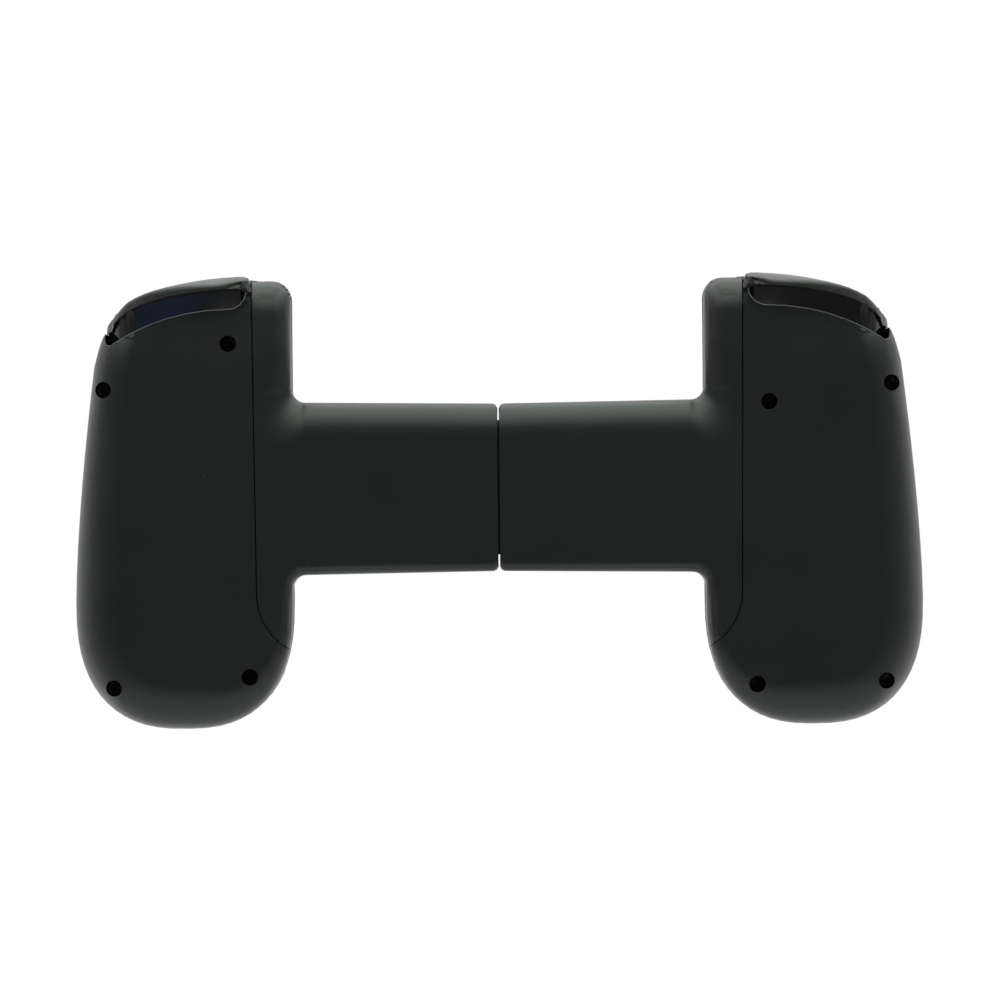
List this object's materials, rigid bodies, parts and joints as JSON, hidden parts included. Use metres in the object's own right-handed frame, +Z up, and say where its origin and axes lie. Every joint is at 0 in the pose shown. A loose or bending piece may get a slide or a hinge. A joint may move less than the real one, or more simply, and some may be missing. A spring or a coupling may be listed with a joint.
{
  "type": "mobile game controller",
  "caption": "Black telescoping game controller that clamps a phone between two grips, with triggers, sticks, cross pad and buttons on a sliding bridge.",
  "frame": {"origin": "middle of the closed controller's overall box", "axes": "+X towards the player's left grip, +Y towards the player, out of the buttons and sticks, +Z up towards the triggers"},
  "size_m": [0.176, 0.034, 0.094],
  "materials": {
    "shell": "fine matte grain",
    "trigger_gloss": "gloss black",
    "tray": "matte black",
    "soft_pad": "soft matte",
    "keypad": "soft grey silicone",
    "keys": "satin black",
    "stick_rubber": "textured rubber",
    "board": "solder mask",
    "gear_resin": "natural acetal resin",
    "steel": "bright steel",
    "ribbon": "amber film"
  },
  "bodies": {
    "left_half": {"left_grip_back": "shell", "left_face": "shell", "left_bridge_cover": "shell", "left_bridge_tray": "tray", "left_phone_pad": "soft_pad", "left_board": "board", "left_cover_screws": "steel", "left_rack": "gear_resin", "left_trigger_bracket": "tray", "left_trigger_shaft": "steel", "left_trigger_spring": "steel", "left_stick_housing": "steel", "dpad_cradle": "tray", "dpad_membrane": "keypad", "headphone_socket": "tray", "closing_spring": "steel", "link_ribbon": "ribbon"},
    "right_half": {"right_grip_back": "shell", "right_face": "shell", "right_bridge_cover": "shell", "right_bridge_tray": "tray", "right_phone_pad": "soft_pad", "right_board": "board", "right_cover_screws": "steel", "right_rack": "gear_resin", "right_trigger_bracket": "tray", "right_trigger_shaft": "steel", "right_trigger_spring": "steel", "right_stick_housing": "steel", "button_membrane": "keypad", "phone_plug": "steel", "charge_socket": "steel"},
    "carriage": {"slide_carriage": "tray", "carriage_lid": "tray", "pinion_pin": "steel"},
    "pinion": {"sync_pinion": "gear_resin"},
    "left_trigger": {"left_trigger": "trigger_gloss"},
    "left_bumper": {"left_bumper": "trigger_gloss"},
    "right_trigger": {"right_trigger": "trigger_gloss"},
    "right_bumper": {"right_bumper": "trigger_gloss"},
    "left_stick_seat": {"left_stick_carrier": "tray"},
    "left_stick_ring": {"left_stick_gimbal": "gear_resin"},
    "left_stick": {"left_thumbstick": "stick_rubber"},
    "right_stick_seat": {"right_stick_carrier": "tray"},
    "right_stick_ring": {"right_stick_gimbal": "gear_resin"},
    "right_stick": {"right_thumbstick": "stick_rubber"},
    "dpad_ring": {"dpad_gimbal": "gear_resin"},
    "dpad": {"dpad": "keys"},
    "top_button": {"top_button": "keys"},
    "bottom_button": {"bottom_button": "keys"},
    "inner_button": {"inner_button": "keys"},
    "outer_button": {"outer_button": "keys"},
    "options_button": {"options_button": "keys"},
    "capture_button": {"capture_button": "keys"},
    "menu_button": {"menu_button": "keys"},
    "home_button": {"home_button": "keys"}
  },
  "joints": [
    {"name": "bridge_slide", "type": "slide", "parent": "left_half", "child": "right_half", "axis": [-1, 0, 0], "range_m": [0, 0.08], "stiffness_N_per_m": 60, "springref_m": -0.02, "deforming": ["closing_spring", "link_ribbon"]},
    {"name": "carriage_slide", "type": "slide", "parent": "left_half", "child": "carriage", "axis": [-1, 0, 0], "range_m": [0, 0.04]},
    {"name": "pinion_spin", "type": "hinge", "parent": "carriage", "child": "pinion", "pos_m": [0, -0.007, 0.00265], "axis": [0, 1, 0], "range_deg": [0, 477.5]},
    {"name": "left_trigger_pull", "type": "hinge", "parent": "left_half", "child": "left_trigger", "pos_m": [0.0655, -0.0009, 0.0386], "axis": [1, 0, 0], "range_deg": [0, 10], "stiffness_Nm_per_rad": 0.06, "springref_deg": -20.05},
    {"name": "left_bumper_press", "type": "hinge", "parent": "left_half", "child": "left_bumper", "pos_m": [0.0784, 0.005, 0.0364], "axis": [0, -1, 0], "range_deg": [0, 2], "stiffness_Nm_per_rad": 0.05, "springref_deg": -11.46},
    {"name": "right_trigger_pull", "type": "hinge", "parent": "right_half", "child": "right_trigger", "pos_m": [-0.0655, -0.0009, 0.0386], "axis": [1, 0, 0], "range_deg": [0, 10], "stiffness_Nm_per_rad": 0.06, "springref_deg": -20.05},
    {"name": "right_bumper_press", "type": "hinge", "parent": "right_half", "child": "right_bumper", "pos_m": [-0.0784, 0.005, 0.0364], "axis": [0, 1, 0], "range_deg": [0, 2], "stiffness_Nm_per_rad": 0.05, "springref_deg": -11.46},
    {"name": "left_stick_click", "type": "slide", "parent": "left_half", "child": "left_stick_seat", "axis": [0, -1, 0], "range_m": [0, 0.0004], "stiffness_N_per_m": 300, "springref_m": -0.005},
    {"name": "left_stick_tilt_up", "type": "hinge", "parent": "left_stick_seat", "child": "left_stick_ring", "pos_m": [0.0685, -0.0015, 0.0232], "axis": [1, 0, 0], "range_deg": [-15, 15], "stiffness_Nm_per_rad": 0.02},
    {"name": "left_stick_tilt_across", "type": "hinge", "parent": "left_stick_ring", "child": "left_stick", "pos_m": [0.0685, -0.0015, 0.0232], "axis": [0, 0, 1], "range_deg": [-15, 15], "stiffness_Nm_per_rad": 0.02},
    {"name": "right_stick_click", "type": "slide", "parent": "right_half", "child": "right_stick_seat", "axis": [0, -1, 0], "range_m": [0, 0.0004], "stiffness_N_per_m": 300, "springref_m": -0.005},
    {"name": "right_stick_tilt_up", "type": "hinge", "parent": "right_stick_seat", "child": "right_stick_ring", "pos_m": [-0.0673, -0.0015, -0.0176], "axis": [1, 0, 0], "range_deg": [-15, 15], "stiffness_Nm_per_rad": 0.02},
    {"name": "right_stick_tilt_across", "type": "hinge", "parent": "right_stick_ring", "child": "right_stick", "pos_m": [-0.0673, -0.0015, -0.0176], "axis": [0, 0, 1], "range_deg": [-15, 15], "stiffness_Nm_per_rad": 0.02},
    {"name": "dpad_rock_up", "type": "hinge", "parent": "left_half", "child": "dpad_ring", "pos_m": [0.0665, 0.0042, -0.012], "axis": [1, 0, 0], "range_deg": [-4.5, 4.5], "stiffness_Nm_per_rad": 0.02},
    {"name": "dpad_rock_across", "type": "hinge", "parent": "dpad_ring", "child": "dpad", "pos_m": [0.0665, 0.0042, -0.012], "axis": [0, 0, 1], "range_deg": [-4.5, 4.5], "stiffness_Nm_per_rad": 0.02},
    {"name": "top_button_press", "type": "slide", "parent": "right_half", "child": "top_button", "axis": [0, -1, 0], "range_m": [0, 0.001], "stiffness_N_per_m": 60, "springref_m": -0.01},
    {"name": "bottom_button_press", "type": "slide", "parent": "right_half", "child": "bottom_button", "axis": [0, -1, 0], "range_m": [0, 0.001], "stiffness_N_per_m": 60, "springref_m": -0.01},
    {"name": "inner_button_press", "type": "slide", "parent": "right_half", "child": "inner_button", "axis": [0, -1, 0], "range_m": [0, 0.001], "stiffness_N_per_m": 60, "springref_m": -0.01},
    {"name": "outer_button_press", "type": "slide", "parent": "right_half", "child": "outer_button", "axis": [0, -1, 0], "range_m": [0, 0.001], "stiffness_N_per_m": 60, "springref_m": -0.01},
    {"name": "options_button_press", "type": "slide", "parent": "left_half", "child": "options_button", "axis": [0, -1, 0], "range_m": [0, 0.0005], "stiffness_N_per_m": 60, "springref_m": -0.01},
    {"name": "capture_button_press", "type": "slide", "parent": "left_half", "child": "capture_button", "axis": [0, -1, 0], "range_m": [0, 0.0005], "stiffness_N_per_m": 60, "springref_m": -0.01},
    {"name": "menu_button_press", "type": "slide", "parent": "right_half", "child": "menu_button", "axis": [0, -1, 0], "range_m": [0, 0.0005], "stiffness_N_per_m": 60, "springref_m": -0.01},
    {"name": "home_button_press", "type": "slide", "parent": "right_half", "child": "home_button", "axis": [0, -1, 0], "range_m": [0, 0.0005], "stiffness_N_per_m": 60, "springref_m": -0.01}
  ],
  "couplings": [
    {"joint": "carriage_slide", "follows": "bridge_slide", "ratio": 0.5},
    {"joint": "pinion_spin", "follows": "bridge_slide", "rad_per_m": 104.17}
  ]
}
